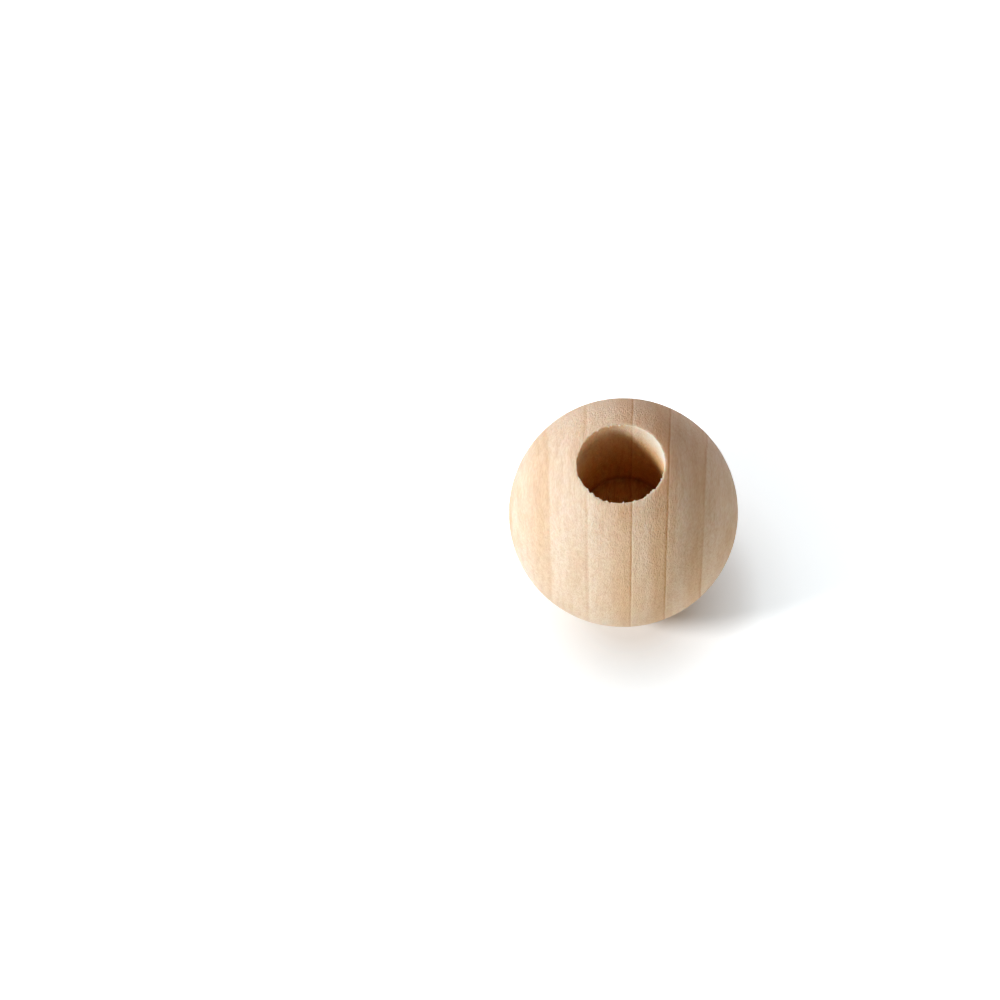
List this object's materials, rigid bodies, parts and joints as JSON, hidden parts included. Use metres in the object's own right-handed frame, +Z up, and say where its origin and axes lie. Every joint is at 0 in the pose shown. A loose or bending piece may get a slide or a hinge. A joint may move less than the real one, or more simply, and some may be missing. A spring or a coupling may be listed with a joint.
{
  "type": "ball dowel cap",
  "caption": "Turned wooden ball that stands on a small flat, with a blind round bore opposite it to cap the end of a dowel.",
  "frame": {"origin": "middle of the flat that the cap stands on", "axes": "+Z up the bore, out of its mouth; X and Y across it, with no preferred direction round the ball"},
  "size_m": [0.0254, 0.0254, 0.0234],
  "materials": {
    "wood": "matte"
  },
  "bodies": {
    "root": {"ball_cap": "wood"}
  },
  "joints": []
}
